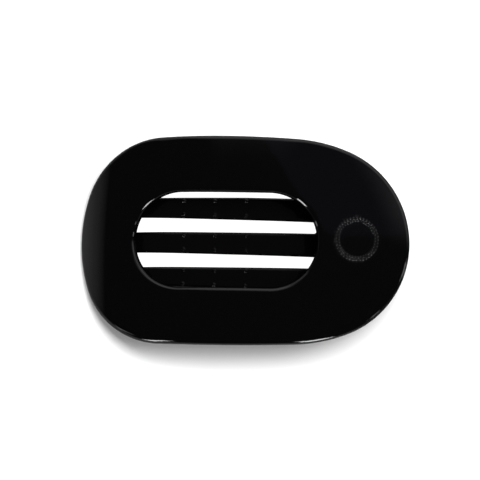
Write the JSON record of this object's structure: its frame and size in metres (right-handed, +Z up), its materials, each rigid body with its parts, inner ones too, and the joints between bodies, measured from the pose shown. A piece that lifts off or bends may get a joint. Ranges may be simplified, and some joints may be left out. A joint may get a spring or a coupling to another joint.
{
  "type": "hair claw clip",
  "caption": "Lay-flat oval hair clip: arched glossy shell with a stadium window and a thumb medallion, hinged to a rear jaw of parallel tines by a sprung pin.",
  "frame": {"origin": "on the table that the closed clip lies on, under the middle of its box", "axes": "+X along the clip from the tine tips to the thumb end, +Z up out of the shell's front, +Y across"},
  "size_m": [0.0999, 0.0636, 0.0226],
  "materials": {
    "shell_plastic": "piano-black polished moulding",
    "medallion_plastic": "polished black with a ring of small beads",
    "jaw_plastic": "polished black moulding",
    "pin_steel": "drawn steel",
    "spring_steel": "drawn spring wire, nickel bright"
  },
  "bodies": {
    "rear": {"rear_jaw": "jaw_plastic", "hinge_pin": "pin_steel", "torsion_spring": "spring_steel"},
    "front": {"front_shell": "shell_plastic", "press_medallion": "medallion_plastic"}
  },
  "joints": [
    {"name": "clip_open", "type": "hinge", "parent": "rear", "child": "front", "pos_m": [0.0275, 0, 0.0108], "axis": [0, 1, 0], "range_deg": [0, 28], "deforming": ["torsion_spring"]}
  ]
}
